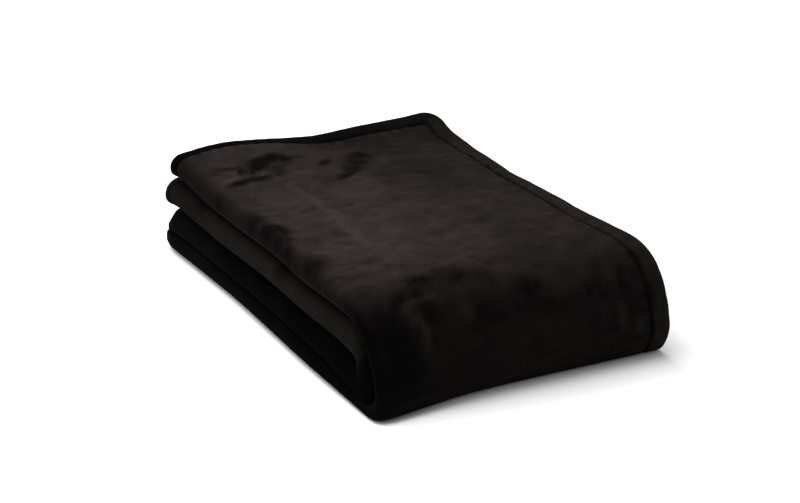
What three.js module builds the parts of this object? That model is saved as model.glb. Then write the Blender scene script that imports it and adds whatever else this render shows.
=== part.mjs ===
// A plush throw, folded into a flat pack: one cloth, one solid.
// Millimetres, +Z up. X is the width of the pack, Y its depth, and the front spine faces -Y.
// The cloth is folded in half across its length, pleated lengthwise into four panels,
// and folded in half once more round the front spine, so that sixteen layers lie on each other.

import * as THREE from 'three'

// The cloth
const CLOTH_THICKNESS = 4.6
const HEM_WIDTH = 22
const HEM_THICKNESS = 5.6
const HEM_EDGE_THICKNESS = 2.6
const SEAM_THICKNESS = 3.2

// The pack
const PACK_LEFT = -168
const PACK_RIGHT = 166
const PACK_FRONT = -260
const PACK_BACK = 266
const PACK_HEIGHT = 110
const PANELS = 4
const LAYERS_IN_STRIP = 2 * PANELS

// Sizes that follow from these
const LAYER_PITCH = PACK_HEIGHT / (2 * LAYERS_IN_STRIP)
const PANEL_PITCH = 2 * LAYER_PITCH
const FOLD_RADIUS = PANEL_PITCH / 2
const CROSS_FOLD_RADIUS = LAYER_PITCH / 2
const STRIP_HALF = PANEL_PITCH * PANELS / 2
const OUTER_RADIUS = 2 * STRIP_HALF - (LAYER_PITCH - CLOTH_THICKNESS) / 2
const FOLD_REACH = FOLD_RADIUS + CROSS_FOLD_RADIUS + CLOTH_THICKNESS / 2

// The front spine, seen from the end: a wide curve over a tight one, both turning about its core
const SPINE = { coreY: -196, coreZ: 55, noseZ: 41, overReach: 86, underReach: 22, halfLength: 86 }
const FLAT_LENGTH = 450

// How far the outermost layers of the top stop short of the back of the pack, and the shares of
// the depth between which the inner layers give way to them
const TOP_END = { short: 25, from: 0.35, to: 0.65 }

// At the back left corner each roll of pleats is rounded in plan and thinned towards its end.
// The top roll and the third are rounded more than the others.
const ROLL_END = { radius: 16, tightest: 0.97, fade: 100, thinning: 0.12, length: 90, keep: 1.75 }
const TOP_ROLL_END = { more: 18, from: 60, to: 95 }
const THIRD_ROLL_END = { more: 14, z: 42, reachZ: 13 }

// Under the spine the two lowest rolls are pressed square against each other, and look like one
const PRESSED = { sharpness: 5, fade: 60 }

// The lowest rolls spread to the left towards the front
const FOOT = { spread: 10, fade: 120, from: 120, to: -160, upTo: 0.62 }

// At the left end of the spine the outer layers crowd together over the inner ones
const CROWDING = { amount: 0.55, x: -190, reachX: 90, reachRun: 170 }

// Broad swells and hollows of the pack: where, how far they reach, and how much they rise at the top
const SWELLS = [
  { at: 'back left crown', x: -100, y: 215, reachX: 75, reachY: 70, rise: 13 },
  { at: 'back left edge, turned down', x: -95, y: 250, reachX: 105, reachY: 16, rise: -6 },
  { at: 'hollow before the back hem', x: 20, y: 205, reachX: 60, reachY: 28, rise: -6 },
  { at: 'back right edge', x: 80, y: 264, reachX: 65, reachY: 40, rise: 3.5 },
  { at: 'back right corner', x: 160, y: 246, reachX: 34, reachY: 30, rise: 9 },
  { at: 'trough before the back right edge', x: 105, y: 180, reachX: 75, reachY: 42, rise: -6 },
  { at: 'right hem', x: 175, y: 60, reachX: 55, reachY: 170, rise: -14 },
  { at: 'front left', x: -170, y: -200, reachX: 90, reachY: 80, rise: -7 }
]

// Levels that have sunk between the others: where, how far they reach, and how much they drop
const SAGS = [
  { at: 'middle of the stack', z: 50, reachZ: 24, y: 180, reachY: 300, drop: 7 },
  { at: 'under the top roll, before the shoulder', z: 72, reachZ: 28, y: -105, reachY: 75, drop: 8 }
]
const SAG_FADE = 15

// The left end of the spine slumps: down, and forward at the floor
const SLUMP = { x: -168, reachX: 110, reachPush: 75, y: -262, reachY: 75, drop: 22, push: 16, pushUpTo: 0.7 }

// Cloth that is this close to the floor is pressed on it by the weight above
const FLOOR_CONTACT = 0.1

// Steps of the mesh
const PANEL_STEPS = 6
const FOLD_STEPS = 5
const SPINE_STEPS = 4
const CROSS_FOLD_STEPS = 4
const FLAT_SHARES = [0, 0.05, 0.18, 0.34, 0.5, 0.66, 0.83, 1]
const HEM_STEPS = [0, 0.3, 1, 1.35]
const HEM_PROFILE = [HEM_EDGE_THICKNESS, HEM_THICKNESS, SEAM_THICKNESS, CLOTH_THICKNESS]

const smooth = (x) => THREE.MathUtils.smoothstep(x, 0, 1)
const bump = (x) => Math.exp(-x * x)
const steps = (count) => Array.from({ length: count + 1 }, (_, step) => step / count)

// Thickness of the cloth at a distance in from its nearest edge: rounded hem, seam, then plain
function thicknessAt(fromEdge) {
  const across = Math.min(fromEdge / HEM_WIDTH, HEM_STEPS.at(-1))
  const after = Math.max(1, HEM_STEPS.findIndex((step) => step >= across))
  const part = (across - HEM_STEPS[after - 1]) / (HEM_STEPS[after] - HEM_STEPS[after - 1])
  return THREE.MathUtils.lerp(HEM_PROFILE[after - 1], HEM_PROFILE[after], part)
}

// Stations across the cloth, from the hem on top of the pack to the hem at its core.
// Each gives a place in the section of the pleats and the way that an offset moves it.
// All panels share the same places across, so that their facets lie parallel.
function pleatStations() {
  const leftCentre = PACK_LEFT + FOLD_REACH
  const rightCentre = PACK_RIGHT - FOLD_REACH
  const hemStart = PACK_RIGHT - HEM_STEPS.at(-1) * HEM_WIDTH
  const shared = steps(PANEL_STEPS).map((part) => THREE.MathUtils.lerp(leftCentre, hemStart, part))
  const hems = HEM_STEPS.slice(0, -1).map((step) => PACK_RIGHT - step * HEM_WIDTH).reverse()
  const stations = []
  for (let panel = 0; panel < PANELS; panel++) {
    const level = (PANELS / 2 - 0.5 - panel) * PANEL_PITCH
    const goesLeft = panel % 2 === 0
    const hasHem = panel === 0 || panel === PANELS - 1
    const across = [...shared, ...(hasHem ? hems : [rightCentre])]
    const side = goesLeft ? 1 : -1
    for (const x of goesLeft ? across.reverse() : across) {
      stations.push({ x, level, offX: 0, offB: side, edge: hasHem ? PACK_RIGHT - x : Infinity, way: side })
    }
    if (panel === PANELS - 1) break
    for (const part of steps(FOLD_STEPS).slice(1, -1)) {
      const out = -side * Math.sin(Math.PI * part)
      const up = Math.cos(Math.PI * part)
      stations.push({
        x: (goesLeft ? leftCentre : rightCentre) + FOLD_RADIUS * out,
        level: level - FOLD_RADIUS + FOLD_RADIUS * up,
        offX: side * out,
        offB: side * up,
        edge: Infinity,
        way: side
      })
    }
  }
  return stations
}

// Stations along the cloth, from the hem on top, round the spine, through the cross fold at the
// back of the lower half, and round the spine again to the hem beneath the first
function lengthStations() {
  const half = []
  const top = SPINE.halfLength + FLAT_LENGTH
  const under = -top + CROSS_FOLD_RADIUS + CLOTH_THICKNESS / 2
  const hem = HEM_STEPS.map((step) => step * HEM_WIDTH)
  hem.slice(0, -1).forEach((inset) => half.push({ run: top - inset, edge: inset }))
  for (const share of FLAT_SHARES.slice(0, -1)) {
    const run = THREE.MathUtils.lerp(top - hem.at(-1), SPINE.halfLength, share)
    half.push({ run, edge: top - run })
  }
  for (let step = 0; step < 2 * SPINE_STEPS; step++) {
    half.push({ run: SPINE.halfLength * (1 - step / SPINE_STEPS), edge: Infinity })
  }
  for (const share of FLAT_SHARES.toReversed().slice(0, -1)) {
    half.push({ run: THREE.MathUtils.lerp(under, -SPINE.halfLength, share), edge: Infinity })
  }
  const upper = half.map((row) => ({ ...row, lift: CROSS_FOLD_RADIUS, offRun: 0, offLift: 1, way: 1 }))
  const lower = half
    .map((row) => ({ ...row, lift: -CROSS_FOLD_RADIUS, offRun: 0, offLift: -1, way: -1 }))
    .reverse()
  const cross = []
  for (let step = 0; step <= CROSS_FOLD_STEPS; step++) {
    const turn = Math.PI * step / CROSS_FOLD_STEPS
    cross.push({
      run: under - CROSS_FOLD_RADIUS * Math.sin(turn),
      lift: CROSS_FOLD_RADIUS * Math.cos(turn),
      offRun: -Math.sin(turn),
      offLift: Math.cos(turn),
      edge: Infinity,
      way: 1
    })
  }
  return [...upper, ...cross, ...lower]
}

// The end of a roll of pleats, from 0 to 1 at the very end
function nearEnd(run) {
  const top = SPINE.halfLength + FLAT_LENGTH
  return smooth((Math.abs(run) - top + ROLL_END.length) / ROLL_END.length)
}

// The strip of pleats folded round the spine: run is measured along it from the front of the
// spine, and depth outwards from the core
function roundSpine(x, run, depth) {
  const left = bump((x - CROWDING.x) / CROWDING.reachX)
  const crowding = CROWDING.amount * left * bump(run / CROWDING.reachRun)
  const even = depth / OUTER_RADIUS
  const share = even + crowding * even * (1 - even)
  const turn = THREE.MathUtils.clamp(run / SPINE.halfLength, -1, 1) * Math.PI / 2
  const over = run > 0
  const reach = over ? SPINE.overReach : SPINE.underReach
  const rise = over ? PACK_HEIGHT - SPINE.noseZ : SPINE.noseZ
  const outerY = PACK_FRONT + reach * (1 - Math.cos(turn))
  const outerZ = SPINE.noseZ + rise * Math.sin(turn)
  let y = SPINE.coreY + share * (outerY - SPINE.coreY)
  const z = SPINE.coreZ + share * (outerZ - SPINE.coreZ)
  const past = Math.max(0, Math.abs(run) - SPINE.halfLength) / FLAT_LENGTH
  const short = over ? TOP_END.short * smooth((share - TOP_END.from) / (TOP_END.to - TOP_END.from)) : 0
  y = THREE.MathUtils.lerp(y, PACK_BACK - short, past)
  return { y, z }
}

// Depth in the strip. At its end each upper roll on the left is drawn together: the top one
// upwards, the next towards its own middle. The two lower rolls are pressed to the floor as one.
function thinRoll(x, run, level) {
  const inner = run > 0 && level < 0
  const drawnTo = inner ? -PANEL_PITCH : ROLL_END.keep * PANEL_PITCH
  const left = 1 - smooth((x - PACK_LEFT) / ROLL_END.fade)
  const thinning = ROLL_END.thinning * left * nearEnd(run)
  const depth = STRIP_HALF + level + (drawnTo - level) * thinning
  return run > 0 ? depth : Math.min(depth, OUTER_RADIUS)
}

// A place in the section of the pleats, moved outwards where the two folds on the left are pressed
// together: the quarter of each that faces the other turns from round to nearly square
function pressSquare(x, level, run) {
  const centreX = PACK_LEFT + FOLD_REACH
  if (run >= 0 || x >= centreX) return { x, level }
  const centreLevel = Math.sign(level) * PANEL_PITCH
  const dx = x - centreX
  const dLevel = level - centreLevel
  if (dLevel * centreLevel > 0) return { x, level }
  const radius = Math.hypot(dx, dLevel)
  const { sharpness, fade } = PRESSED
  const round = ((Math.abs(dx) / radius) ** sharpness + (Math.abs(dLevel) / radius) ** sharpness) ** (1 / sharpness)
  const grown = 1 + (radius / FOLD_REACH) ** 2 * smooth(-run / fade) * (1 / round - 1)
  return { x: centreX + dx * grown, level: centreLevel + dLevel * grown }
}

// The back left corner of the pack, rounded in plan
function roundCorner(point) {
  const left = 1 - smooth((point.x - PACK_LEFT) / ROLL_END.fade)
  const topRoll = smooth((point.z - TOP_ROLL_END.from) / (TOP_ROLL_END.to - TOP_ROLL_END.from))
  const thirdRoll = bump((point.z - THIRD_ROLL_END.z) / THIRD_ROLL_END.reachZ)
  const radius = ROLL_END.radius + TOP_ROLL_END.more * topRoll + THIRD_ROLL_END.more * thirdRoll
  const end = THREE.MathUtils.clamp(1 - (PACK_BACK - point.y) / radius, 0, ROLL_END.tightest)
  point.x += radius * (1 - Math.sqrt(1 - end * end)) * left
  return point
}

// The pack as it really lies: swells and hollows, and the slumped left end of the spine
function settle(point) {
  const share = point.z / PACK_HEIGHT
  let { x, y, z } = point
  for (const sag of SAGS) {
    const firm = smooth(point.z / SAG_FADE)
    z -= sag.drop * firm * bump((point.z - sag.z) / sag.reachZ) * bump((y - sag.y) / sag.reachY)
  }
  for (const swell of SWELLS) {
    z += swell.rise * share * bump((x - swell.x) / swell.reachX) * bump((y - swell.y) / swell.reachY)
  }
  const front = bump(Math.min(0, SLUMP.y - y) / SLUMP.reachY)
  z -= SLUMP.drop * front * bump((x - SLUMP.x) / SLUMP.reachX) * Math.sin(Math.PI * Math.min(1, share))
  y -= SLUMP.push * front * bump((x - SLUMP.x) / SLUMP.reachPush) * (1 - smooth(share / SLUMP.pushUpTo))
  const left = 1 - smooth((point.x - PACK_LEFT) / FOOT.fade)
  const forward = smooth((FOOT.from - point.y) / (FOOT.from - FOOT.to))
  x -= FOOT.spread * left * forward * (1 - smooth(share / FOOT.upTo))
  return new THREE.Vector3(x, y, z < FLOOR_CONTACT ? 0 : z)
}

// Triangles of a sheet with two faces and a rim. Each face is a grid, a row for each station
// along the cloth. The diagonals of layers that lie on each other run the same way.
function closedSheet(lengths, pleats) {
  const rows = lengths.length
  const columns = pleats.length
  const triangles = []
  const at = (face, row, column) => (face * rows + row) * columns + column
  const quad = (corners, turned = false) => {
    const [a, b, c, d] = corners.map((corner) => at(...corner))
    triangles.push(...(turned ? [a, b, d, b, c, d] : [a, b, c, a, c, d]))
  }
  for (let row = 0; row + 1 < rows; row++) {
    for (let column = 0; column + 1 < columns; column++) {
      const turned = lengths[row + 1].way !== pleats[column].way
      const square = [[row, column], [row, column + 1], [row + 1, column + 1], [row + 1, column]]
      quad(square.map((corner) => [0, ...corner]), turned)
      quad([0, 3, 2, 1].map((corner) => [1, ...square[corner]]), turned)
    }
  }
  const end = columns - 1
  for (let row = 0; row + 1 < rows; row++) {
    quad([[1, row, 0], [0, row, 0], [0, row + 1, 0], [1, row + 1, 0]])
    quad([[0, row, end], [1, row, end], [1, row + 1, end], [0, row + 1, end]])
  }
  const last = rows - 1
  for (let column = 0; column + 1 < columns; column++) {
    quad([[0, 0, column], [1, 0, column], [1, 0, column + 1], [0, 0, column + 1]])
    quad([[1, last, column], [0, last, column], [0, last, column + 1], [1, last, column + 1]])
  }
  return triangles
}

function buildCloth() {
  const pleats = pleatStations()
  const lengths = lengthStations()
  const points = []
  for (const face of [1, -1]) {
    for (const along of lengths) {
      for (const pleat of pleats) {
        const half = face * thicknessAt(Math.min(along.edge, pleat.edge)) / 2
        const run = along.run + half * along.offRun
        const lift = along.lift + half * along.offLift
        const { x, level } = pressSquare(pleat.x + lift * pleat.offX, pleat.level + lift * pleat.offB, run)
        const depth = thinRoll(x, run, level)
        const { y, z } = roundSpine(x, run, depth)
        points.push(settle(roundCorner(new THREE.Vector3(x, y, z))))
      }
    }
  }
  const geometry = new THREE.BufferGeometry()
  geometry.setFromPoints(points)
  geometry.setIndex(closedSheet(lengths, pleats))
  geometry.computeBoundingBox()
  const middle = geometry.boundingBox.getCenter(new THREE.Vector3())
  geometry.translate(-middle.x, -middle.y, 0)
  geometry.computeVertexNormals()
  return geometry
}

const plush = new THREE.MeshStandardMaterial({ color: 0x2b2424, roughness: 0.95, metalness: 0 })
const cloth = new THREE.Mesh(buildCloth(), plush)
cloth.name = 'folded_throw'

const throwBlanket = new THREE.Group()
throwBlanket.add(cloth)

export default throwBlanket
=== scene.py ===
"""A plush throw, folded into a flat pack, on a pale floor under soft studio light.

The scene is in metres with +Z up. X is the width of the pack, Y its depth, and the front
spine faces -Y. Sizes of the cloth are held in millimetres, as a maker would give them, and
turned into metres where a mesh is made.

The cloth is folded in half across its length, pleated lengthwise into four panels, and
folded in half once more round the front spine. "Run" is the distance along the pleated
strip from the foremost line of the spine: positive over the top, negative underneath.
"Across" is the distance from the long hem on the right, round the pleats.
"""

import logging
from dataclasses import dataclass, field
from enum import Enum

import bpy
import numpy as np
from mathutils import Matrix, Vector


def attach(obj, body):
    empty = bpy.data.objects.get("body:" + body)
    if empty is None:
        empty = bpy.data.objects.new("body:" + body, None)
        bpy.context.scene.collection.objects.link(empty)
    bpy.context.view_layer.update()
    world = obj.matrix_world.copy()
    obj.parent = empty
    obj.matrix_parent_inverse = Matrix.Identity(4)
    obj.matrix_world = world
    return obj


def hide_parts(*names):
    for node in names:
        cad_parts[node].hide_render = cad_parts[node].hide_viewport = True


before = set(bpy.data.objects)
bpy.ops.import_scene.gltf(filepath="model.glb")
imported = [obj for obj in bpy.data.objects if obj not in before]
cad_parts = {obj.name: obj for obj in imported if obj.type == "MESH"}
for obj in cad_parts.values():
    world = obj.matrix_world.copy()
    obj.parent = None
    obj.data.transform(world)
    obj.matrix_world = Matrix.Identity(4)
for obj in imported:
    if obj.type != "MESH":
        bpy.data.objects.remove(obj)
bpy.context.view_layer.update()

LOG = logging.getLogger("throw")
MM = 0.001
NODE = "folded_throw"
BODY = "root"

# The share of the top panel's fold that shows
TOP_SHOWN = 0.9
# The panel before the fold that makes the second roll on the left
SECOND_ROLL = 2
# A stroke is whole up to one half-axis less than this, and gone at this many
STROKE_END = 1.45
# The share of a crease's length over which each end fades
CREASE_ENDS = 0.25
# Keeps a division away from 0
TINY = 1e-9

Array = np.ndarray
Pair = tuple[float, float]
Triple = tuple[float, float, float]
Colour = tuple[float, float, float, float]
Sizes = tuple[float, ...]
Socket = bpy.types.NodeSocket
Given = dict[str | int, Socket | float | Triple | Colour]


class Face(Enum):
    """The two faces of the cloth."""

    OUTWARD = 1
    INWARD = -1


class Ply(Enum):
    """The two layers that the fold across the length makes."""

    UPPER = 0
    LOWER = 1


# Small functions of shape


def smooth(x: Array | float) -> Array:
    """Rise gently from 0 to 1 while x goes from 0 to 1."""
    t = np.clip(x, 0.0, 1.0)
    return t * t * (3.0 - 2.0 * t)


def climb(x: Array | float, start: float, reach: float) -> Array:
    """Rise gently from 0 at the start to 1 one reach beyond it."""
    return smooth((x - start) / reach)


def hill(x: Array | float, centre: Array | float, reach: Array | float) -> Array:
    """A soft hill of height 1 at the centre that is almost gone two reaches away."""
    return np.exp(-np.square((x - centre) / reach))


def mix(a: Array | float, b: Array | float, share: Array | float) -> Array:
    """Blend from a to b."""
    return a + (b - a) * share


def follow(curve: tuple[Pair, ...], x: Array) -> Array:
    """Read a curve, given as places and the values there, at x."""
    return np.interp(x, *zip(*curve))


def spaced(start: float, end: float, count: int) -> list[float]:
    """Even places from start towards end, without the end itself."""
    return [start + (end - start) * step / count for step in range(count)]


@dataclass
class SoftNoise:
    """Smooth random hills between -1 and 1, the same on every run."""

    seed: int
    cells: int = 32
    turn: Pair = (0.8, 0.6)
    lean: float = 0.37
    octaves: int = 3
    first_height: float = 0.6
    height_ratio: float = 0.55
    step_ratio: float = 2.03
    step_shift: float = 5.1
    table: Array = field(init=False, repr=False)

    def __post_init__(self) -> None:
        """Fill the lattice that the hills pass through."""
        draw = np.random.default_rng(self.seed)
        self.table = draw.uniform(-1.0, 1.0, (self.cells,) * 3)

    def at(self, a: Array, b: Array, c: Array | float) -> Array:
        """Height of the hills.

        Args:
            a: First coordinate, in hills.
            b: Second coordinate, in hills.
            c: Third coordinate, in hills.

        Returns:
            Heights, in the shape of the coordinates.
        """
        a, b, c = np.broadcast_arrays(a, b, c)
        cos, sin = self.turn
        turned = (cos * a - sin * b, sin * a + cos * b, c + self.lean * a)
        low = [np.floor(axis).astype(int) for axis in turned]
        part = [axis - floor for axis, floor in zip(turned, low)]
        part = [t * t * t * (t * (6.0 * t - 15.0) + 10.0) for t in part]
        total = np.zeros(a.shape)
        for corner in range(8):
            weight = np.ones(a.shape)
            index = []
            for axis in range(3):
                up = corner >> axis & 1
                weight = weight * (part[axis] if up else 1.0 - part[axis])
                index.append((low[axis] + up) % self.cells)
            total += weight * self.table[tuple(index)]
        return total

    def rough(self, a: Array, b: Array, c: float) -> Array:
        """Hills with smaller hills on them.

        Args:
            a: First coordinate, in hills.
            b: Second coordinate, in hills.
            c: Third coordinate, in hills.

        Returns:
            Heights, roughly between -1 and 1.
        """
        total, height = np.zeros(np.broadcast(a, b, c).shape), self.first_height
        for octave in range(self.octaves):
            step = self.step_ratio**octave
            total = total + height * self.at(a * step + self.step_shift * octave, b * step, c * step)
            height *= self.height_ratio
        return total


HILLS = SoftNoise(7)


@dataclass(frozen=True)
class Grain:
    """An unevenness: random hills by their height, two pitches and layer of the noise."""

    height: float
    pitch_a: float
    pitch_b: float
    layer: float
    rough: bool = False

    def over(self, a: Array, b: Array | float) -> Array:
        """Heights over two coordinates, with smaller hills on them if it is rough."""
        hills = HILLS.rough if self.rough else HILLS.at
        return self.height * hills(a / self.pitch_a, b / self.pitch_b, self.layer)


def heights(grains: tuple[Grain, ...], a: Array, b: Array) -> Array:
    """Height of several grains together over two coordinates."""
    return sum(grain.over(a, b) for grain in grains)


# Forms placed one by one


@dataclass(frozen=True)
class Swell:
    """A broad swell, or a hollow where the rise is negative, about a centre in two axes."""

    name: str
    centre: Pair
    reach: Pair
    rise: float

    def height(self, a: Array, b: Array) -> Array:
        """Height over the two axes, in millimetres."""
        return self.rise * hill(a, self.centre[0], self.reach[0]) * hill(b, self.centre[1], self.reach[1])


@dataclass(frozen=True)
class Crease:
    """A soft ridge, or a trough where the rise is negative, on the upper face of the throw."""

    name: str
    start: Pair
    end: Pair
    width: float
    rise: float

    def height(self, across: Array, run: Array) -> Array:
        """Height of the crease.

        Args:
            across: Places across the cloth, in millimetres from the right hem.
            run: Places along it, in millimetres from the front of the spine.

        Returns:
            Heights in millimetres.
        """
        (a0, r0), (a1, r1) = self.start, self.end
        length = np.hypot(a1 - a0, r1 - r0)
        along = ((across - a0) * (a1 - a0) + (run - r0) * (r1 - r0)) / length**2
        aside = ((across - a0) * (r1 - r0) - (run - r0) * (a1 - a0)) / length
        ends = smooth(along / CREASE_ENDS) * smooth((1.0 - along) / CREASE_ENDS)
        return self.rise * ends * hill(aside, 0.0, self.width)


@dataclass(frozen=True)
class Stroke:
    """A patch that looks darker or lighter. Some are pile brushed another way; others are painted shade or
    painted highlights.

    It lies at a place across and along the cloth, with two half-axes, the first turned by
    some degrees from the across direction.
    """

    name: str
    across: float
    run: float
    length: float
    width: float
    turn: float
    strength: float

    def weight(self, across: Array, run: Array) -> Array:
        """How much of the patch is felt.

        Args:
            across: Places across the cloth, in millimetres from the right hem.
            run: Places along it, in millimetres from the front of the spine.

        Returns:
            From 0 outside the patch to its strength in the middle.
        """
        turn = np.radians(self.turn)
        a, r = across - self.across, run - self.run
        along = (a * np.cos(turn) + r * np.sin(turn)) / self.length
        aside = (-a * np.sin(turn) + r * np.cos(turn)) / self.width
        return self.strength * np.clip(STROKE_END - np.hypot(along, aside), 0.0, 1.0)


# By width and depth of the pack
SWELLS = (
    Swell("back left crown", (-100, 215), (75, 70), 13),
    Swell("back left edge, turned down", (-95, 250), (105, 16), -6),
    Swell("hollow before the back hem", (20, 205), (60, 28), -6),
    Swell("back right edge", (80, 264), (65, 40), 3.5),
    Swell("back right corner", (160, 246), (34, 30), 9),
    Swell("trough before the back right edge", (105, 180), (75, 42), -6),
    Swell("right hem", (175, 60), (55, 170), -14),
    Swell("front left", (-170, -200), (90, 80), -7),
)

# By height and depth of the pack
SAGS = (
    Swell("middle of the stack", (50, 180), (24, 300), -7),
    Swell("under the top roll, before the shoulder", (72, -105), (28, 75), -8),
)

CREASES = (
    Crease("fold line over the spine", (330, 96), (30, 88), 16, 0.9),
    Crease("dent behind the left shoulder", (250, 110), (215, 60), 9, -1.3),
    Crease("dent in the middle of the shoulder", (185, 92), (150, 62), 10, -1.1),
    Crease("dent right of the middle", (120, 95), (95, 52), 12, -1.5),
    Crease("dent by the right hem", (62, 92), (48, 40), 10, -1.2),
    Crease("forked ridge", (294, 54), (236, 57), 5, 1.4),
    Crease("forked ridge, stem", (286, 57), (270, 18), 5, 1.4),
    Crease("ridge down the front", (205, 62), (196, 0), 9, 1.1),
    Crease("pucker beside the right seam", (34, 90), (30, -20), 6, 0.9),
    Crease("hollow at the back left", (292, 420), (228, 465), 20, -1.2),
    Crease("hollow at the back middle", (190, 440), (160, 380), 18, -1.1),
    Crease("long rise from the back left", (254, 430), (251, 130), 9, 1.5),
    Crease("long dip beside it", (228, 380), (222, 140), 16, -0.7),
)

# Dark patches: pile brushed another way, and painted shade in and under the dents of the shoulder, beside
# the forked ridge, by the hem and seam, and at the end of the second roll
DARK_PILE_AND_SHADE_STROKES = (
    Stroke("back left patch", 260, 453, 23, 12, 137, 1.0),
    Stroke("back left patch, neck", 240, 466, 16, 9, 150, 1.0),
    Stroke("back left patch, right end", 226, 460, 14, 10, 100, 1.0),
    Stroke("back left fleck", 207, 461, 10, 4, 10, 0.7),
    Stroke("grey under the back left patch", 243, 436, 22, 13, 110, 0.62),
    Stroke("back left loop", 295, 453, 14, 4, 12, 0.75),
    Stroke("back left loop, side", 285, 446, 12, 6, 115, 0.9),
    Stroke("back left tail", 298, 419, 18, 6, 165, 1.0),
    Stroke("back left tail, right end", 275, 423, 20, 8, 176, 1.0),
    Stroke("back middle fleck", 184, 439, 15, 6, 139, 0.9),
    Stroke("back middle patch", 151, 430, 30, 20, 110, 0.8),
    Stroke("back middle patch, core", 138, 448, 18, 13, 100, 1.0),
    Stroke("back middle patch, lower", 168, 408, 20, 15, 110, 0.85),
    Stroke("back middle patch, foot", 182, 387, 20, 8, 155, 0.9),
    Stroke("back middle streak", 89, 466, 15, 4, 26, 0.6),
    Stroke("back middle shade", 100, 440, 30, 10, 20, 0.4),
    Stroke("left shoulder fleck", 329, 397, 10, 6, 90, 0.7),
    Stroke("left shoulder patch", 325, 312, 22, 10, 90, 0.66),
    Stroke("left shoulder second patch", 322, 274, 26, 13, 90, 0.9),
    Stroke("left shoulder second patch, front", 324, 242, 22, 12, 90, 0.82),
    Stroke("left shoulder third patch", 328, 214, 16, 10, 90, 0.7),
    Stroke("left shoulder fourth patch", 320, 170, 22, 14, 90, 0.72),
    Stroke("right grey field", 96, 395, 26, 22, 20, 0.36),
    Stroke("grey spot right of the middle", 152, 342, 16, 12, 120, 0.44),
    Stroke("grey spot, second", 136, 318, 14, 8, 20, 0.4),
    Stroke("middle fleck", 236, 330, 9, 6, 20, 0.45),
    Stroke("second middle fleck", 196, 280, 14, 5, 20, 0.45),
    Stroke("third middle fleck", 274, 262, 10, 8, 20, 0.4),
    Stroke("fourth middle fleck", 178, 225, 16, 5, 20, 0.42),
    Stroke("dark by the front left", 312, 50, 16, 14, 90, 0.62),
    Stroke("dark front left", 301, 30, 26, 20, 90, 0.5),
    Stroke("dent in the shoulder, left", 254, 77, 14, 7, 13, 0.86),
    Stroke("dent in the shoulder, left stem", 266, 66, 10, 7, 60, 0.62),
    Stroke("dark left of the forked ridge", 288, 64, 14, 6, 165, 0.7),
    Stroke("dark under the forked ridge", 260, 48, 12, 7, 20, 0.62),
    Stroke("dent in the shoulder, middle", 214, 72, 18, 6, 172, 0.68),
    Stroke("grey spot in the shoulder", 186, 65, 12, 12, 90, 0.52),
    Stroke("dent in the shoulder, right", 146, 52, 22, 10, 13, 0.66),
    Stroke("dent in the shoulder, core", 156, 45, 13, 8, 20, 0.82),
    Stroke("shade under the right dent", 150, 36, 44, 10, 8, 0.56),
    Stroke("shade under the middle dent", 194, 38, 30, 11, 8, 0.56),
    Stroke("dent before the hem", 80, 37, 24, 11, 10, 0.62),
    Stroke("shade by the hem", 46, 40, 18, 9, 90, 0.62),
    Stroke("shade under the lights by the seam", 44, -18, 18, 6, 0, 0.6),
    Stroke("dark on the hem, upper", 20, 56, 12, 6, 90, 0.62),
    Stroke("dark on the hem, lower", 19, 22, 12, 5, 90, 0.6),
    Stroke("front of the left roll", 332, 60, 30, 10, 90, 0.7),
    Stroke("spot on the second roll", 988, 240, 13, 7, 90, 0.6),
    Stroke("spot on the second roll, back", 986, 436, 14, 5, 90, 0.6),
    Stroke("spot on the second roll, front", 988, 120, 30, 10, 90, 0.3),
    # Painted shadow in the gap between the second roll's end and the spine
    Stroke("end of the second roll", 982, 26, 30, 10, 90, 1.0),
)

# Lighter patches: painted highlights where the pile catches the light (the bright streak, glints, the forked
# ridge, beside the seam, the front of the left fold), with short lighter dashes and rosier pile at the foot
# of the front
PAINTED_HIGHLIGHT_AND_LIGHT_PILE_STROKES = (
    Stroke("bright streak, back", 254, 392, 30, 5, 90, 0.24),
    Stroke("bright streak", 252, 335, 32, 5, 92, 0.38),
    Stroke("bright streak, middle", 250, 282, 30, 6, 90, 0.56),
    Stroke("bright streak, lower", 255, 218, 34, 6, 88, 0.44),
    Stroke("bright streak, front", 246, 160, 24, 7, 105, 0.24),
    Stroke("light beside the streak", 286, 365, 26, 14, 110, 0.14),
    Stroke("glint under the back left patch", 272, 430, 14, 3.5, 165, 0.4),
    Stroke("glint over the back left patch", 252, 477, 7, 4, 160, 0.4),
    Stroke("light in the loop", 296, 446, 13, 3.5, 12, 0.3),
    Stroke("light over the tail", 303, 428, 16, 3.5, 170, 0.34),
    Stroke("left dash", 307, 318, 10, 3.5, 20, 0.24),
    Stroke("front left dash", 292, 207, 9, 3.5, 20, 0.24),
    Stroke("right dash", 150, 300, 12, 3.5, 20, 0.24),
    Stroke("second right dash", 205, 205, 12, 3.5, 20, 0.22),
    Stroke("third right dash", 130, 240, 12, 3.5, 20, 0.22),
    Stroke("forked ridge, upper", 272, 59, 17, 3.2, 174, 0.27),
    Stroke("forked ridge, right end", 250, 58, 10, 3.5, 20, 0.17),
    Stroke("forked ridge, fork", 281, 51, 9, 3.5, 35, 0.17),
    Stroke("forked ridge, stem", 272, 41, 10, 3.2, 90, 0.22),
    Stroke("forked ridge, foot", 276, 28, 12, 3.5, 96, 0.1),
    Stroke("light below the dents", 225, 45, 9, 7, 90, 0.13),
    Stroke("light beside the seam", 56, 10, 13, 6, 90, 0.2),
    Stroke("second light beside the seam", 37, 0, 9, 6, 90, 0.18),
    Stroke("light at the front of the left fold", 326, 92, 34, 4, 90, 0.3),
    Stroke("rosy foot of the front", 300, -14, 22, 8, 0, 0.1),
    Stroke("rosy foot, middle", 196, -38, 16, 8, 0, 0.08),
    Stroke("rosy patch", 167, -12, 12, 8, 90, 0.07),
)
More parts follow.
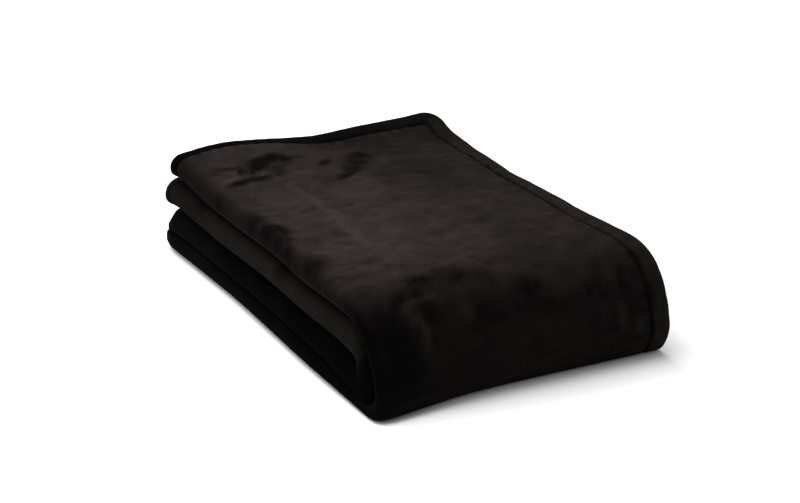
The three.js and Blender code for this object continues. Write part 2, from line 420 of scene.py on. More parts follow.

# Painted light and shade: the lit top and the shaded front, along the strip from the shoulder on, and across
# the cloth
PAINTED_LIGHT_ALONG = (
    (-150, 0.14), (-90, 0.19), (-40, 0.16), (-20, 0.17), (0, 0.29), (15, 0.48), (35, 0.72), (70, 0.84),
    (190, 0.89), (330, 0.75), (390, 0.64), (450, 0.53),
)
PAINTED_FRONT_LIGHT_ACROSS = ((0, 1.35), (60, 1.25), (180, 1.15), (250, 1.0), (290, 0.7), (334, 0.5))
PAINTED_LIGHT_ACROSS = (
    (0, 0.5), (30, 0.54), (60, 0.6), (110, 0.57), (170, 0.82), (235, 0.95), (300, 0.92), (318, 0.78),
    (334, 0.62),
)

# Painted shade on the back hem, which faces away from the light: how much darker it is than the cloth beside
# it, across the cloth
BACK_HEM_PAINTED_SHADE = ((0, 0.3), (60, 0.58), (150, 0.77), (250, 0.9), (330, 0.96))

# Painted shade and highlights round the top roll and the second roll, by panel and share of the fold: darker
# where the fold turns from the light, a painted highlight along its rim
TOP_ROLL_PAINTED_LIGHT = (
    (0, 1.0), (0.12, 0.72), (0.3, 0.42), (0.6, 0.36), (0.7, 0.6), (0.78, 1.1), (0.86, 0.5), (0.95, 0.15),
)
SECOND_ROLL_PAINTED_LIGHT = ((2.0, 0.3), (2.15, 0.7), (2.4, 1.0), (2.6, 0.95), (2.75, 1.1), (2.9, 0.6), (3.0, 0.2))

# The place along the strip at which the painted light of the top gives way to the painted shade of the
# front, across the cloth
SHOULDER = ((0, 60), (40, 52), (84, 50), (147, 60), (215, 74), (254, 72), (290, 62), (335, 52))


@dataclass
class Stations:
    """Places across the cloth or along it, each with the way that an offset moves it."""

    place: Array
    level: Array
    off_place: Array
    off_level: Array
    edge: Array
    flat: Array
    part: Array

    @classmethod
    def gather(cls, rows: list[tuple[float, ...]]) -> "Stations":
        """Make the arrays from one tuple for each station, in the order of the fields."""
        return cls(*np.array(rows, float).T)

    def __len__(self) -> int:
        """Number of stations."""
        return len(self.place)


@dataclass(frozen=True)
class Hem:
    """The turned edge of the cloth. Insets are distances in from its outermost line."""

    insets: Sizes = (0, 0.5, 1.6, 3.5, 6, 9, 12.5, 16, 18.5, 20.2, 21.4, 22.3, 23.4, 25, 27.5, 31)
    thickness: Sizes = (0.9, 1.9, 3.2, 4.4, 5.3, 5.7, 5.7, 5.4, 4.9, 4.2, 3.3, 2.9, 3.2, 4, 4.5, 4.6)
    seam: float = 22.3
    plain_beyond: float = 400.0
    corner_radius: float = 22.0


HEM = Hem()


@dataclass(frozen=True)
class Places:
    """Where each point of the cloth is: one row for a station along it, one column across."""

    across: Array
    run: Array
    part: Array
    back: Array
    edge: Array
    upper: Array

    @classmethod
    def spread(cls, cols: Stations, rows: Stations) -> "Places":
        """Spread the stations over the grid of points.

        Args:
            cols: Stations across the cloth.
            rows: Stations along it.

        Returns:
            Distance from the right hem and along the strip, panel or fold, distance from the
            back hem and from the nearest hem, and whether the point is in the upper ply.
        """
        edge = np.minimum(np.minimum(rows.edge[:, None], cols.edge[None, :]), HEM.plain_beyond)
        upper = rows.part[:, None] == Ply.UPPER.value
        values = (cols.flat, rows.place[:, None], cols.part, rows.flat[:, None], edge, upper)
        return cls(*(np.broadcast_to(value, edge.shape) for value in values))


@dataclass(frozen=True)
class FaceRelief:
    """Small forms of the face that shows: puffed hem, puckers, creases and soft dents."""

    at: Places
    dents: tuple[Grain, ...] = (Grain(0.8, 36, 26, 7.7, rough=True), Grain(0.35, 13, 9, 2.2))
    dents_on_hem: float = 0.35
    plain_fade: float = 20.0
    hem_puff: float = 1.5
    hem_crown: Pair = (9.5, 7.5)
    hem_grain: Grain = Grain(0.3, 30, 30, 8.8)
    seam_depth: float = 0.9
    seam_width: float = 1.6
    pucker_rise: float = 1.1
    pucker_pitch: float = 15.0
    pucker_reach: float = 11.0
    pucker_gap: float = 2.2
    pucker_mean: float = 0.6
    pucker_grain: Grain = Grain(0.5, 26, 60, 8.8)
    pucker_drift: Grain = Grain(2.6, 40, 1, 6.1)
    drift_row: float = 1.4

    def pucker(self) -> Array:
        """Puckers beside the seam of the hem.

        Returns:
            Heights between about -1 and 1.
        """
        beside = np.where(self.at.across < self.at.back, self.at.run, self.at.across)
        turn = 2 * np.pi * beside / self.pucker_pitch + self.pucker_drift.over(beside, self.drift_row)
        uneven = self.pucker_mean + self.pucker_grain.over(beside, self.at.edge)
        near, on_it = (hill(self.at.edge, HEM.seam, reach) for reach in (self.pucker_reach, self.pucker_gap))
        return uneven * np.sin(turn) * near * (1.0 - on_it)

    def rise(self) -> Array:
        """Rise of the outward face.

        Returns:
            Heights in millimetres.
        """
        plain = climb(self.at.edge, HEM.seam, self.plain_fade)
        rise = heights(self.dents, self.at.across, self.at.run) * mix(self.dents_on_hem, 1.0, plain)
        for crease in CREASES:
            rise = rise + crease.height(self.at.across, self.at.run) * plain
        rise = rise + self.pucker_rise * self.pucker()
        puff = 1.0 + self.hem_grain.over(self.at.across, self.at.run)
        rise = rise + self.hem_puff * hill(self.at.edge, *self.hem_crown) * puff
        return rise - self.seam_depth * hill(self.at.edge, HEM.seam, self.seam_width)


@dataclass(frozen=True)
class PileLieAndPaintedLight:
    """Painted light and shade on the cloth, with how its pile lies, as three values: light, warmth
    and dark patches.

    The light value holds painted light and shade: a lit top, a shaded front and underside, shade
    and highlights on the rolls, highlights on the hem and on the puckers of the relief, and shade
    along the seam. A pair for a climb or a hill is its start or centre and its reach. A pair for
    the seam is a mean and how much its unevenness changes it.
    """

    relief: FaceRelief
    drift_across: Grain = Grain(13, 24, 15, 1.3, rough=True)
    drift_along: Grain = Grain(8, 34, 16, 6.6, rough=True)
    shoulder_drift: float = 0.8
    stroke_drift: float = 0.35
    onto_top: Pair = (-10, 50)
    back_hem_shade: Pair = (510, 7)
    streaks: tuple[Grain, ...] = (Grain(0.14, 30, 12, 2.7, rough=True), Grain(0.3, 46, 42, 0.4, rough=True))
    dashes: Grain = Grain(1.0, 17, 8, 8.3)
    dashes_from: float = 0.3
    dashes_strength: float = 0.5

    roll_light: float = 0.34
    roll_grain: Grain = Grain(0.3, 20, 40, 9.4, rough=True)
    roll_back: Pair = (380, 80)
    roll_back_share: float = 0.62
    roll_front: Pair = (12, 50)
    roll_front_share: float = 0.12
    crumpled_part: Pair = (2.78, 0.09)
    crumpled_run: Pair = (26, 38)
    hidden_light: float = 0.28

    beneath: Pair = (5, 25)
    front_foot: Pair = (-120, 20)
    under_grain: Grain = Grain(0.06, 16, 24, 3.9, rough=True)
    under_back: Pair = (340, 110)
    under_back_light: float = 0.05

    hem_light: float = 0.1
    hem_inner: Pair = (16, 6)
    hem_front: Pair = (10, 60)
    hem_foot: float = -60.0
    rim: Pair = (2.5, 3)
    rim_front_light: float = 0.14
    rim_light: float = 0.16
    rim_back: Pair = (120, 120)

    pucker_painted_light: float = 0.45
    seam_grain: Grain = Grain(1.0, 1, 19, 5.7, rough=True)
    seam_pitches: Pair = (9, 21)
    seam_shade: Pair = (0.72, 0.3)
    seam_width: Pair = (2.4, 1.3)

    warmth: float = 0.42
    warm_grain: Grain = Grain(0.45, 60, 50, 4.1, rough=True)
    cool_share: float = 0.5
    cool_across: Pair = (302, 36)
    cool_front: Pair = (20, 50)
    lightness_room: float = 0.85

    def paint(self) -> dict[str, Array]:
        """Paint the whole cloth.

        Returns:
            Painted light and shade, warmth, and dark patches of pile and painted shade at each point, for
            both faces alike.
        """
        at = self.relief.at
        drift_a = self.drift_across.over(at.across, at.run)
        drift_r = self.drift_along.over(at.across, at.run)
        near = (at.across + self.stroke_drift * drift_a, at.run + self.stroke_drift * drift_r)
        strokes = sum(stroke.weight(*near) for stroke in PAINTED_HIGHLIGHT_AND_LIGHT_PILE_STROKES)
        # Painted light and shade of the lit top and the shaded front, with the painted highlights of the
        # strokes
        light = (self.top_light(drift_a, drift_r) + strokes) * (1.0 + self.streakiness())
        on_top = at.upper & (at.part < 1.0)
        # Painted shade and highlights round the top roll and the second roll
        light = np.where(on_top, light * follow(TOP_ROLL_PAINTED_LIGHT, at.part), self.second_roll_painted_light())
        # Painted shade beneath the spine, and a painted highlight on the right hem
        light = self.paint_shade_beneath(light) + self.painted_hem_highlight()
        # Painted highlights and shade on the puckers, and painted shade along the seam
        light = light * (1.0 + self.pucker_painted_light * self.relief.pucker()) * (1.0 - self.painted_seam_shade())
        dark = np.maximum.reduce([stroke.weight(*near) for stroke in DARK_PILE_AND_SHADE_STROKES])
        cool = hill(at.across, *self.cool_across) * (1.0 - climb(at.run, *self.cool_front))
        warm = self.warmth + self.warm_grain.over(at.across, at.run) - self.cool_share * cool
        values = {"painted_light_and_shade": light * self.lightness_room, "warmth": warm, "dark_pile_and_shade": dark}
        return {name: np.clip(value, 0.0, 1.0) for name, value in values.items()}

    def top_light(self, drift_a: Array, drift_r: Array) -> Array:
        """Painted light and shade of the top and the front, lit on top and shaded in front, before strokes
        and streaks.

        Args:
            drift_a: How far the pattern drifts across the cloth.
            drift_r: How far it drifts along the strip.

        Returns:
            Lightness at each point.
        """
        at = self.relief.at
        a = at.across + drift_a
        past = at.run + drift_r + self.shoulder_drift * drift_r - follow(SHOULDER, a)
        light = mix(follow(PAINTED_FRONT_LIGHT_ACROSS, a), follow(PAINTED_LIGHT_ACROSS, a), climb(past, *self.onto_top))
        light = light * follow(PAINTED_LIGHT_ALONG, past)
        # Painted shade on the back hem
        return light * (1.0 - climb(at.run, *self.back_hem_shade) * follow(BACK_HEM_PAINTED_SHADE, at.across))

    def streakiness(self) -> Array:
        """How streaks and short dashes change the painted light and shade.

        Returns:
            Share to add at each point, below 0 where it gets darker.
        """
        at = self.relief.at
        dashes = self.dashes.over(at.across, at.run)
        beyond = self.dashes_strength * np.maximum(0.0, np.abs(dashes) - self.dashes_from)
        return heights(self.streaks, at.across, at.run) + beyond * np.sign(dashes)

    def second_roll_painted_light(self) -> Array:
        """Painted shade and highlights of the second roll, and the light value of all that lies between the
        layers.

        Returns:
            Lightness at each point.
        """
        at = self.relief.at
        light = self.roll_light * follow(SECOND_ROLL_PAINTED_LIGHT, at.part)
        light = light * (1.0 + self.roll_grain.over(at.across, at.run))
        light = light * mix(1.0, self.roll_back_share, climb(at.run, *self.roll_back))
        # Painted shadow on the roll's front end, where it dives under the top roll
        light = light * mix(self.roll_front_share, 1.0, climb(at.run, *self.roll_front))
        # Painted highlight on the crumpled edge at the roll's end
        light = light + hill(at.part, *self.crumpled_part) * hill(at.run, *self.crumpled_run)
        in_roll = (at.part >= SECOND_ROLL) & (at.part <= SECOND_ROLL + 1)
        return np.where(in_roll, light, self.hidden_light)

    def paint_shade_beneath(self, light: Array) -> Array:
        """Paint shade on the underside, which the front face runs into below the spine.

        Args:
            light: Lightness so far.

        Returns:
            Lightness at each point.
        """
        at = self.relief.at
        beneath = climb(-at.run, *self.beneath)
        kept = np.where(at.part < TOP_SHOWN, 1.0 - climb(at.run, *self.front_foot), 1.0)
        under = np.maximum(0.0, self.under_grain.over(at.across, at.run))
        under = under + self.under_back_light * climb(-at.run, *self.under_back)
        return light * (1.0 - beneath * kept) + beneath * under

    def painted_hem_highlight(self) -> Array:
        """Painted highlight that the right hem catches, most of all at its rim.

        Returns:
            Painted highlight to add at each point.
        """
        at = self.relief.at
        rim = hill(at.across, *self.rim)
        up = climb(at.run, *self.hem_front)
        on_hem = (1.0 - climb(at.across, *self.hem_inner)) * (at.run > self.hem_foot)
        hem_highlight = (self.hem_light + self.rim_front_light * rim) * on_hem * (1.0 - up)
        return hem_highlight + self.rim_light * rim * up * (1.0 - climb(at.run, *self.rim_back))

    def painted_seam_shade(self) -> Array:
        """Share by which painted shade along the seam's trough darkens the pile, as an uneven line.

        Returns:
            Shares from 0 beside the line.
        """
        at = self.relief.at
        short, long = self.seam_pitches
        uneven = self.seam_grain.over(np.minimum(at.across, at.back) / short + at.across / long, at.run)
        dark, width = (mean - change * uneven for mean, change in (self.seam_shade, self.seam_width))
        return dark * hill(at.edge - HEM.seam, uneven, width)


@dataclass
class FoldedThrow:
    """The throw itself: one cloth in sixteen layers, hems and all.

    Its flat size is in metres, and all else in millimetres. The middle is taken off X and Y
    at the end, which brings the pack to the frame's origin. A pair for a climb or a hill is
    its start or centre and its reach.
    """

    name: str = "plush_throw"
    flat_size: Pair = (1.3, 2.0)
    thickness: float = 4.6

    left: float = -168.0
    right: float = 166.0
    front: float = -260.0
    back: float = 266.0
    height: float = 110.0
    panels: int = 4
    layers_in_panel: int = 4
    middle: Pair = (-5.585, -1.68)

    core_y: float = -196.0
    core_z: float = 55.0
    nose_z: float = 41.0
    over_reach: float = 86.0
    under_reach: float = 22.0
    spine_half: float = 86.0
    flat_length: float = 450.0
    top_short: float = 25.0
    short_share: Pair = (0.35, 0.3)

    roll_radius: float = 16.0
    roll_tightest: float = 0.97
    roll_fade: float = 100.0
    roll_thinning: float = 0.12
    roll_end: float = 90.0
    roll_keep: float = 1.75
    top_roll_more: float = 18.0
    top_roll_z: Pair = (60.0, 35.0)
    third_roll_more: float = 14.0
    third_roll_z: Pair = (42.0, 13.0)
    pressed_sharpness: float = 5.0
    pressed_fade: float = 60.0
    pressed_least: float = 0.5
    foot_spread: float = 10.0
    foot_fade: float = 120.0
    foot_forward: Pair = (-120.0, 280.0)
    foot_up_to: float = 0.62
    crowding: float = 0.55
    crowding_x: Pair = (-190.0, 90.0)
    crowding_run: float = 170.0

    slump_y: Pair = (-262.0, 75.0)
    slump_drop: float = 22.0
    slump_drop_x: Pair = (-168.0, 110.0)
    slump_push: float = 16.0
    slump_push_x: Pair = (-168.0, 75.0)
    slump_push_up_to: float = 0.7
    sag_fade: float = 15.0
    floor_contact: float = 0.1

    side_fade: float = 110.0
    back_fade: float = 120.0
    firm_below: float = 0.12
    left_wander: Grain = Grain(0.6, 62, 30, 3.3)
    right_wander: tuple[Grain, ...] = (Grain(2.4, 85, 21, 9.1), Grain(1.2, 30, 14, 1.7))
    back_wander: tuple[Grain, ...] = (Grain(2.6, 70, 19, 5.2), Grain(1.0, 28, 12, 2.9))
    broad_wander: tuple[Grain, ...] = (Grain(1.5, 90, 80, 0.6), Grain(0.7, 44, 38, 4.4))
    broad_calm_at_left: float = 0.6
    crumple_rise: float = 2.4
    crumple_pitch: float = 13.0
    crumple_run: Pair = (20.0, 32.0)
    crumple_depth: float = 9.0
    crumple_fade: float = 60.0

    shown_front: Pair = (-70.0, 40.0)
    second_roll_shown: float = 0.35

    panel_steps: tuple[int, ...] = (60, 16, 16, 14)
    fold_steps: int = 14
    top_steps: int = 84
    spine_steps: tuple[int, int] = (40, 26)
    under_steps: int = 34
    hidden_top_steps: int = 16
    cross_steps: int = 8

    points: Array = field(init=False, repr=False)
    relief: FaceRelief = field(init=False, repr=False)
    across: Stations = field(init=False, repr=False)
    along: Stations = field(init=False, repr=False)

    @property
    def pitch(self) -> float:
        """Height that one layer takes in the pack."""
        return self.height / (self.layers_in_panel * self.panels)

    @property
    def panel_pitch(self) -> float:
        """Height that one panel, of two layers, takes."""
        return 2 * self.pitch

    @property
    def fold_radius(self) -> float:
        """Radius of the pleats' folds at the middle between the two layers."""
        return self.panel_pitch / 2

    @property
    def cross_radius(self) -> float:
        """Radius of the fold across the length."""
        return self.pitch / 2

    @property
    def strip_half(self) -> float:
        """Half of the height of the pleated strip."""
        return self.panel_pitch * self.panels / 2

    @property
    def outer_radius(self) -> float:
        """Depth of the outermost face in the strip, from the core of the spine."""
        return 2 * self.strip_half - (self.pitch - self.thickness) / 2

    @property
    def roll_reach(self) -> float:
        """Reach of a roll on the left, from the middle of its folds to its outermost face."""
        return self.fold_radius + self.cross_radius + self.thickness / 2

    def stations_across(self) -> Stations:
        """Stations from the long hem on top of the pack to the one at its core.

        Returns:
            Stations whose part is the panel, or the panel and a share of the fold after it.
        """
        centres = {True: self.left + self.roll_reach, False: self.right - self.roll_reach}
        hem = HEM.insets
        hem_start = self.right - hem[-1]
        rows: list[tuple[float, ...]] = []
        flat = 0.0
        for panel in range(self.panels):
            goes_left = panel % 2 == 0
            side = 1.0 if goes_left else -1.0
            has_hem = panel in (0, self.panels - 1)
            level = (self.panels / 2 - 0.5 - panel) * self.panel_pitch
            end = hem_start if has_hem else centres[False]
            xs = spaced(end, centres[True], self.panel_steps[panel]) + [centres[True]]
            if has_hem:
                xs = [self.right - inset for inset in hem[:-1]] + xs
            if not goes_left:
                xs.reverse()
            for x in xs:
                edge = self.right - x if has_hem else np.inf
                rows.append((x, level, 0.0, side, edge, flat + abs(x - xs[0]), panel))
            flat += abs(xs[-1] - xs[0])
            if panel == self.panels - 1:
                break
            for step in range(1, self.fold_steps):
                share = step / self.fold_steps
                out, up = -side * np.sin(np.pi * share), np.cos(np.pi * share)
                place = centres[goes_left] + self.fold_radius * out
                lift = level - self.fold_radius + self.fold_radius * up
                length = flat + np.pi * self.fold_radius * share
                rows.append((place, lift, side * out, side * up, np.inf, length, panel + share))
            flat += np.pi * self.fold_radius
        return Stations.gather(rows)

    def stations_along(self) -> Stations:
        """Stations from the hem on top, round the spine, through the cross fold and back.

        Returns:
            Stations whose part is the ply.
        """
        top = self.spine_half + self.flat_length
        under = -top + self.cross_radius + self.thickness / 2
        hem = HEM.insets

        def half(top_steps: int, spine_steps: int) -> list[tuple[float, float]]:
            """Stations of one ply, from its hem to the cross fold.

            Args:
                top_steps: Steps over the top of the pack.
                spine_steps: Steps round the spine.

            Returns:
                Places along the strip, each with its distance from the hem.
            """
            runs = [top - inset for inset in hem[:-1]]
            runs += spaced(top - hem[-1], self.spine_half, top_steps)
            runs += spaced(self.spine_half, -self.spine_half, spine_steps)
            runs += spaced(-self.spine_half, under, self.under_steps)
            return [(run, top - run if run > self.spine_half else np.inf) for run in runs]

        radius = self.cross_radius
        rows: list[tuple[float, ...]] = []
        for run, edge in half(self.top_steps, self.spine_steps[0]):
            rows.append((run, radius, 0.0, 1.0, edge, top - run, Ply.UPPER.value))
        for step in range(self.cross_steps + 1):
            turn = np.pi * step / self.cross_steps
            s, c = np.sin(turn), np.cos(turn)
            length = top - under + radius * turn
            rows.append((under - radius * s, radius * c, -s, c, np.inf, length, turn / np.pi))
        turned = top - under + radius * np.pi
        for run, edge in reversed(half(self.hidden_top_steps, self.spine_steps[1])):
            rows.append((run, -radius, 0.0, -1.0, edge, turned + run - under, Ply.LOWER.value))
        return Stations.gather(rows)

    def press_square(self, x: Array, level: Array, run: Array) -> tuple[Array, Array]:
        """Press the two folds on the left together under the spine, so that they look like one.

        Args:
            x: Places across the pack.
            level: Levels in the pleats.
            run: Places along the strip.

        Returns:
            Places and levels, where the quarters that face each other are nearly square.
        """
        centre_x, centre_level = self.left + self.roll_reach, np.sign(level) * self.panel_pitch
        dx, d_level = x - centre_x, level - centre_level
        radius = np.maximum(np.hypot(dx, d_level), TINY)
        sharp = self.pressed_sharpness
        square = ((np.abs(dx) / radius) ** sharp + (np.abs(d_level) / radius) ** sharp) ** (1 / sharp)
        faces = (run < 0) & (dx < 0) & (d_level * centre_level <= 0)
        pressed = (radius / self.roll_reach) ** 2 * smooth(-run / self.pressed_fade)
        amount = np.where(faces, pressed, 0.0)
        grown = 1.0 + amount * (1.0 / np.maximum(square, self.pressed_least) - 1.0)
        return centre_x + dx * grown, centre_level + d_level * grown

    def depth_in_strip(self, x: Array, run: Array, level: Array) -> Array:
        """Depth outwards from the core, thinned where a roll of pleats ends on the left.

        Args:
            x: Places across the pack.
            run: Places along the strip.
            level: Levels in the pleats.

        Returns:
            Depths in millimetres.
        """
        top = self.spine_half + self.flat_length
        inner = (run > 0) & (level < 0)
        drawn_to = np.where(inner, -self.panel_pitch, self.roll_keep * self.panel_pitch)
        left = 1.0 - climb(x, self.left, self.roll_fade)
        near_end = climb(np.abs(run), top - self.roll_end, self.roll_end)
        depth = self.strip_half + level + (drawn_to - level) * self.roll_thinning * left * near_end
        return np.where(run > 0, depth, np.minimum(depth, self.outer_radius))

    def round_spine(self, x: Array, run: Array, depth: Array) -> tuple[Array, Array]:
        """Fold the strip round the spine.

        Args:
            x: Places across the pack.
            run: Places along the strip.
            depth: Depths outwards from the core.

        Returns:
            Depth of the pack (Y) and height (Z).
        """
        crowding = self.crowding * hill(x, *self.crowding_x) * hill(run, 0.0, self.crowding_run)
        even = depth / self.outer_radius
        share = even + crowding * even * (1.0 - even)
        turn = np.clip(run / self.spine_half, -1.0, 1.0) * np.pi / 2
        over = run > 0
        reach = np.where(over, self.over_reach, self.under_reach)
        rise = np.where(over, self.height - self.nose_z, self.nose_z)
        outer_y = self.front + reach * (1.0 - np.cos(turn))
        outer_z = self.nose_z + rise * np.sin(turn)
        y = self.core_y + share * (outer_y - self.core_y)
        z = self.core_z + share * (outer_z - self.core_z)
        past = np.maximum(0.0, np.abs(run) - self.spine_half) / self.flat_length
        short = np.where(over, self.top_short * climb(share, *self.short_share), 0.0)
        return mix(y, self.back - short, past), z

    def settle(self, x: Array, y: Array, z: Array) -> tuple[Array, Array, Array]:
        """Round the back left corner, then add swells, the slumped left end and the foot.

        Args:
            x: Width of the pack.
            y: Depth of the pack.
            z: Height.

        Returns:
            The moved x, y and z.
        """
        left = 1.0 - climb(x, self.left, self.roll_fade)
        radius = self.roll_radius + self.top_roll_more * climb(z, *self.top_roll_z)
        radius = radius + self.third_roll_more * hill(z, *self.third_roll_z)
        end = np.clip(1.0 - (self.back - y) / radius, 0.0, self.roll_tightest)
        x = x + radius * (1.0 - np.sqrt(1.0 - end * end)) * left
        share = z / self.height
        x0, y0, z0 = x, y, z
        for sag in SAGS:
            z = z + smooth(z0 / self.sag_fade) * sag.height(z0, y0)
        for swell in SWELLS:
            z = z + share * swell.height(x0, y0)
        front = hill(np.maximum(y, self.slump_y[0]), *self.slump_y)
        squeeze = np.sin(np.pi * np.minimum(1.0, share))
        z = z - self.slump_drop * front * hill(x, *self.slump_drop_x) * squeeze
        low = 1.0 - smooth(share / self.slump_push_up_to)
        y = y - self.slump_push * front * hill(x, *self.slump_push_x) * low
        left = 1.0 - climb(x0, self.left, self.foot_fade)
        forward = climb(-y0, *self.foot_forward)
        x = x - self.foot_spread * left * forward * (1.0 - smooth(share / self.foot_up_to))
        return x, y, np.where(z < self.floor_contact, 0.0, z)

    def wander(self, x: Array, y: Array, z: Array) -> tuple[Array, Array, Array]:
        """Make layers, rolls and ends uneven.

        Each move depends on the other two axes alone, apart from slow fades, so no layer
        passes through its neighbour.

        Args:
            x: Width of the pack.
            y: Depth of the pack.
            z: Height.

        Returns:
            The moved x, y and z.
        """
        share = z / self.height
        at_left = 1.0 - climb(x, self.left, self.side_fade)
        at_right = climb(x, self.right - self.side_fade, self.side_fade)
        at_back = climb(y, self.back - self.back_fade, self.back_fade)
        firm = smooth(share / self.firm_below)
        x = x + at_left * firm * self.left_wander.over(y, z)
        x = x + at_right * firm * heights(self.right_wander, y, z)
        y = y + at_back * firm * heights(self.back_wander, x, z)
        broad = heights(self.broad_wander, x, y) * (1.0 - self.broad_calm_at_left * at_left)
        return x, y, z + share * broad

    def shape_cloth(self) -> None:
        """Work out every point of the folded cloth, in metres about the frame's origin."""
        self.across, self.along = self.stations_across(), self.stations_along()
        cols, rows = self.across, self.along
        self.relief = FaceRelief(Places.spread(cols, rows))
        thickness = np.interp(self.relief.at.edge, HEM.insets, HEM.thickness)
        in_x, in_run = self.round_corners()
        layers = []
        for side in Face:
            half = side.value * thickness / 2
            if side is Face.OUTWARD:
                half = half + self.shown_share() * self.relief.rise()
            lift = rows.level[:, None] + half * rows.off_level[:, None]
            run = rows.place[:, None] + half * rows.off_place[:, None] - in_run
            x = cols.place[None, :] + lift * cols.off_place[None, :] - in_x
            x, level = self.press_square(x, cols.level[None, :] + lift * cols.off_level[None, :], run)
            depth = self.depth_in_strip(x, run, level)
            x = x + self.crumple(x, run, level)
            y, z = self.round_spine(x, run, depth)
            x, y, z = self.wander(*self.settle(x, y, z))
            layers.append(np.stack([x - self.middle[0], y - self.middle[1], z], axis=-1))
        self.points = np.stack(layers) * MM

    def round_corners(self) -> tuple[Array, Array]:
        """How far the cloth's corners draw in where the hems meet, so that they are round.

        Returns:
            Moves inwards across the pack and along the strip, in millimetres.
        """
        u = np.clip(1.0 - self.across.edge / HEM.corner_radius, 0.0, 1.0)[None, :]
        v = np.clip(1.0 - self.along.edge / HEM.corner_radius, 0.0, 1.0)[:, None]
        shrink = np.maximum(u, v) / np.maximum(np.hypot(u, v), TINY)
        drawn = np.where((u > 0) & (v > 0), HEM.corner_radius * (1.0 - shrink), 0.0)
        return u * drawn, v * drawn

    def crumple(self, x: Array, run: Array, level: Array) -> Array:
        """Small waves in the second roll, where it turns round the spine.

        Args:
            x: Places across the pack.
            run: Places along the strip.
            level: Levels in the pleats.

        Returns:
            Moves along X, which depend on the other two axes apart from a slow fade.
        """
        window = hill(level, -self.panel_pitch, self.crumple_depth) * hill(run, *self.crumple_run)
        window = window * (1.0 - climb(x, self.left, self.crumple_fade))
        return self.crumple_rise * window * np.sin(2 * np.pi * run / self.crumple_pitch)

    def shown_share(self) -> Array:
        """How freely the outward face may rise at each point.

        Returns:
            Shares from 0 between layers to 1 on the face that shows.
        """
        part, run, ply = self.across.part, self.along.place, self.along.part
        top = np.clip(1.0 - part / TOP_SHOWN, 0.0, 1.0)
        roll = self.second_roll_shown * np.sin(np.pi * np.clip(part - SECOND_ROLL, 0.0, 1.0))
        over = climb(run, *self.shown_front) * (ply == Ply.UPPER.value)
        return over[:, None] * np.maximum(top, roll)[None, :]

    def quads(self) -> list[tuple[int, int, int, int]]:
        """Faces of the closed sheet: its two faces and the rim round them.

        Returns:
            The numbers of the four corners of each.
        """
        rows, cols = len(self.along), len(self.across)
        index = np.arange(2 * rows * cols).reshape(2, rows, cols)
        out, inn = index

        def strip(a: Array, b: Array, c: Array, d: Array) -> Array:
            """Faces from four arrays of corners."""
            return np.stack([a, b, c, d], axis=-1).reshape(-1, 4)

        faces = [
            strip(out[:-1, :-1], out[:-1, 1:], out[1:, 1:], out[1:, :-1]),
            strip(inn[:-1, :-1], inn[1:, :-1], inn[1:, 1:], inn[:-1, 1:]),
            strip(inn[:-1, 0], out[:-1, 0], out[1:, 0], inn[1:, 0]),
            strip(out[:-1, -1], inn[:-1, -1], inn[1:, -1], out[1:, -1]),
            strip(out[0, :-1], inn[0, :-1], inn[0, 1:], out[0, 1:]),
            strip(inn[-1, :-1], out[-1, :-1], out[-1, 1:], inn[-1, 1:]),
        ]
        return np.concatenate(faces).tolist()

    def build(self, finish: "PlushFinish") -> bpy.types.Object:
        """Args:
            finish: What the cloth is made of.

        Returns:
            The cloth.
        """
        self.shape_cloth()
        points = self.points.reshape(-1, 3).tolist()
        cloth = make_mesh(self.name, points, self.quads(), finish.build())
        mesh = cloth.data
        mesh.shade_smooth()
        for name, values in PileLieAndPaintedLight(self.relief).paint().items():
            store = mesh.attributes.new(name, "FLOAT", "POINT")
            store.data.foreach_set("value", np.tile(values, (2, 1, 1)).ravel().astype(np.float32))
        place = np.zeros(self.points.shape)
        place[..., 0] = self.across.flat[None, None, :] * MM
        place[..., 1] = self.along.flat[None, :, None] * MM
        store = mesh.attributes.new("cloth_place", "FLOAT_VECTOR", "POINT")
        store.data.foreach_set("vector", place.ravel().astype(np.float32))
        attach(cloth, BODY)
        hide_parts(NODE)
        return cloth


